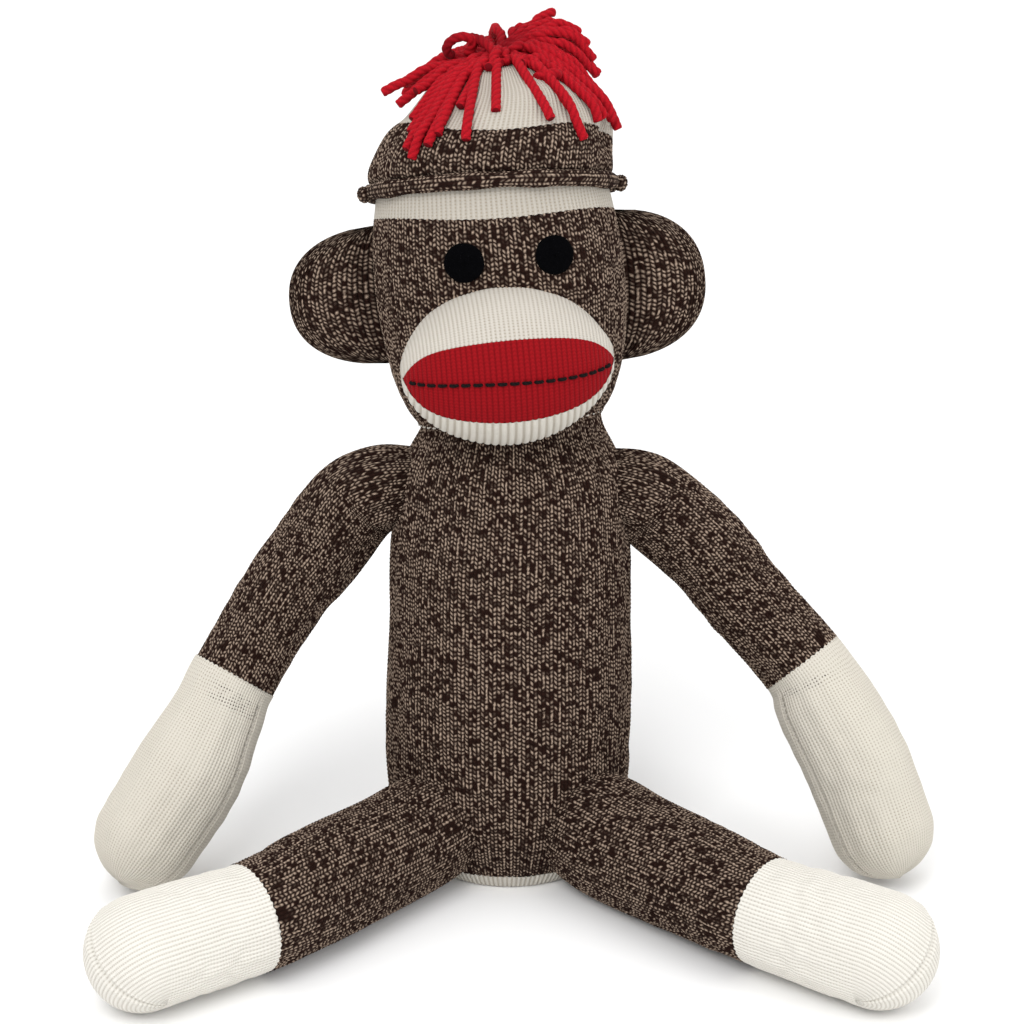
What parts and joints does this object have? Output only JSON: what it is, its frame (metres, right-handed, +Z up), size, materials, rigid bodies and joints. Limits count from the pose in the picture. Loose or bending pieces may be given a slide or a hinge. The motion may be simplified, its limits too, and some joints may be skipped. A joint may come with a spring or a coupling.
{
  "type": "stuffed sock monkey",
  "caption": "Sitting knitted monkey toy with long soft limbs, red stitched lips, felt eyes, round ears and a loose knitted cap with a yarn pompom.",
  "frame": {"origin": "On the floor, under the middle of the toy's outline as it sits", "axes": "+Z up; the toy faces -Y; +X is towards the toy's own left"},
  "size_m": [0.3191, 0.296, 0.3314],
  "materials": {
    "brown_knit": "marled brown and oatmeal jersey knit, matte",
    "cream_knit": "cream jersey knit, matte",
    "red_knit": "red ribbed knit, matte",
    "red_yarn": "plied red wool yarn, fuzzy",
    "black_felt": "pressed black felt, matte",
    "black_thread": "twisted black thread",
    "white_thread": "twisted off-white sewing thread",
    "filling": "loose white polyester fibre"
  },
  "bodies": {
    "torso": {"torso_skin": "brown_knit", "torso_filling": "filling", "seat_patch": "cream_knit"},
    "neck": {"neck_filling": "filling"},
    "collar": {"neck_seam": "white_thread"},
    "head": {"head_skin": "brown_knit", "head_crown": "cream_knit", "head_filling": "filling", "muzzle_upper": "cream_knit", "lips": "red_knit", "muzzle_lower": "cream_knit", "muzzle_filling": "filling", "mouth_stitch": "black_thread", "left_eye": "black_felt", "right_eye": "black_felt"},
    "left_ear": {"left_ear_skin": "brown_knit", "left_ear_padding": "filling"},
    "right_ear": {"right_ear_skin": "brown_knit", "right_ear_padding": "filling"},
    "cap": {"cap_crown": "cream_knit", "cap_band": "brown_knit", "cap_brim": "brown_knit", "pompom": "red_yarn", "pompom_tie": "red_yarn"},
    "left_shoulder": {"left_shoulder_seam": "white_thread"},
    "left_arm": {"left_sleeve": "brown_knit", "left_arm_filling": "filling"},
    "left_hand_end": {"left_hand": "cream_knit", "left_hand_filling": "filling"},
    "left_hip": {"left_hip_seam": "white_thread"},
    "left_thigh": {"left_leg": "brown_knit", "left_leg_filling": "filling"},
    "left_foot_end": {"left_foot": "cream_knit", "left_foot_filling": "filling"},
    "right_shoulder": {"right_shoulder_seam": "white_thread"},
    "right_arm": {"right_sleeve": "brown_knit", "right_arm_filling": "filling"},
    "right_hand_end": {"right_hand": "cream_knit", "right_hand_filling": "filling"},
    "right_hip": {"right_hip_seam": "white_thread"},
    "right_thigh": {"right_leg": "brown_knit", "right_leg_filling": "filling"},
    "right_foot_end": {"right_foot": "cream_knit", "right_foot_filling": "filling"},
    "tail_root": {"tail_seam": "white_thread"},
    "tail": {"tail_skin": "brown_knit", "tail_filling": "filling"}
  },
  "joints": [
    {"name": "neck_nod", "type": "hinge", "parent": "torso", "child": "neck", "pos_m": [0, 0.0211, 0.16042], "axis": [1, 0, 0], "range_deg": [-18, 14], "stiffness_Nm_per_rad": 0.8},
    {"name": "neck_tilt", "type": "hinge", "parent": "neck", "child": "collar", "pos_m": [0, 0.0211, 0.16042], "axis": [0, 0.9613, -0.2756], "range_deg": [-14, 14], "stiffness_Nm_per_rad": 0.8},
    {"name": "neck_turn", "type": "hinge", "parent": "collar", "child": "head", "pos_m": [0, 0.0211, 0.16042], "axis": [-0.0838, 0.2756, 0.9576], "range_deg": [-80, 80], "stiffness_Nm_per_rad": 0.3},
    {"name": "left_ear_fold", "type": "hinge", "parent": "head", "child": "left_ear", "pos_m": [0.04526, 0.04473, 0.21344], "axis": [-0.0838, 0.2756, 0.9576], "range_deg": [-35, 35], "stiffness_Nm_per_rad": 0.03},
    {"name": "right_ear_fold", "type": "hinge", "parent": "head", "child": "right_ear", "pos_m": [-0.05486, 0.0346, 0.2076], "axis": [0.0838, -0.2756, -0.9576], "range_deg": [-35, 35], "stiffness_Nm_per_rad": 0.03},
    {"name": "cap_lift", "type": "slide", "parent": "head", "child": "cap", "axis": [-0.0917, 0.3741, 0.9229], "range_m": [0, 0.06]},
    {"name": "left_arm_swing", "type": "hinge", "parent": "torso", "child": "left_shoulder", "pos_m": [0.064, 0.01486, 0.13107], "axis": [-1, 0, 0], "range_deg": [-45, 95], "stiffness_Nm_per_rad": 0.15},
    {"name": "left_arm_raise", "type": "hinge", "parent": "left_shoulder", "child": "left_arm", "pos_m": [0.064, 0.01486, 0.13107], "axis": [0, -0.8997, 0.4366], "range_deg": [-16, 95], "stiffness_Nm_per_rad": 0.15},
    {"name": "left_wrist_bend", "type": "hinge", "parent": "left_arm", "child": "left_hand_end", "pos_m": [0.1101, -0.0107, 0.0784], "axis": [0.0162, 0.905, -0.425], "range_deg": [-45, 22], "stiffness_Nm_per_rad": 0.05},
    {"name": "left_leg_twist", "type": "hinge", "parent": "torso", "child": "left_hip", "pos_m": [0.04489, -0.05285, 0.02105], "axis": [0.7036, -0.7079, -0.0621], "range_deg": [-30, 30], "stiffness_Nm_per_rad": 0.2},
    {"name": "left_leg_raise", "type": "hinge", "parent": "left_hip", "child": "left_thigh", "pos_m": [0.04489, -0.05285, 0.02105], "axis": [-0.6998, -0.7143, 0], "range_deg": [-65, 50], "stiffness_Nm_per_rad": 0.2},
    {"name": "left_ankle_bend", "type": "hinge", "parent": "left_thigh", "child": "left_foot_end", "pos_m": [0.092, -0.099, 0.0216], "axis": [-0.6305, -0.7762, 0], "range_deg": [-30, 30], "stiffness_Nm_per_rad": 0.05},
    {"name": "right_arm_swing", "type": "hinge", "parent": "torso", "child": "right_shoulder", "pos_m": [-0.064, 0.01486, 0.13107], "axis": [-1, 0, 0], "range_deg": [-45, 95], "stiffness_Nm_per_rad": 0.15},
    {"name": "right_arm_raise", "type": "hinge", "parent": "right_shoulder", "child": "right_arm", "pos_m": [-0.064, 0.01486, 0.13107], "axis": [0, 0.88, -0.475], "range_deg": [-16, 95], "stiffness_Nm_per_rad": 0.15},
    {"name": "right_wrist_bend", "type": "hinge", "parent": "right_arm", "child": "right_hand_end", "pos_m": [-0.105, -0.0153, 0.0752], "axis": [0.0339, -0.8896, 0.4554], "range_deg": [-45, 22], "stiffness_Nm_per_rad": 0.05},
    {"name": "right_leg_twist", "type": "hinge", "parent": "torso", "child": "right_hip", "pos_m": [-0.04489, -0.05285, 0.02105], "axis": [0.7036, 0.7079, 0.0621], "range_deg": [-30, 30], "stiffness_Nm_per_rad": 0.2},
    {"name": "right_leg_raise", "type": "hinge", "parent": "right_hip", "child": "right_thigh", "pos_m": [-0.04489, -0.05285, 0.02105], "axis": [-0.722, 0.6919, 0], "range_deg": [-65, 50], "stiffness_Nm_per_rad": 0.2},
    {"name": "right_ankle_bend", "type": "hinge", "parent": "right_thigh", "child": "right_foot_end", "pos_m": [-0.092, -0.102, 0.0216], "axis": [-0.6385, 0.7696, 0], "range_deg": [-30, 30], "stiffness_Nm_per_rad": 0.05},
    {"name": "tail_twist", "type": "hinge", "parent": "torso", "child": "tail_root", "pos_m": [0, 0.04421, 0.01283], "axis": [0, 0.9397, -0.342], "range_deg": [-60, 60], "stiffness_Nm_per_rad": 0.03},
    {"name": "tail_raise", "type": "hinge", "parent": "tail_root", "child": "tail", "pos_m": [0, 0.04421, 0.01283], "axis": [1, 0, 0], "range_deg": [-8, 50], "stiffness_Nm_per_rad": 0.03}
  ]
}
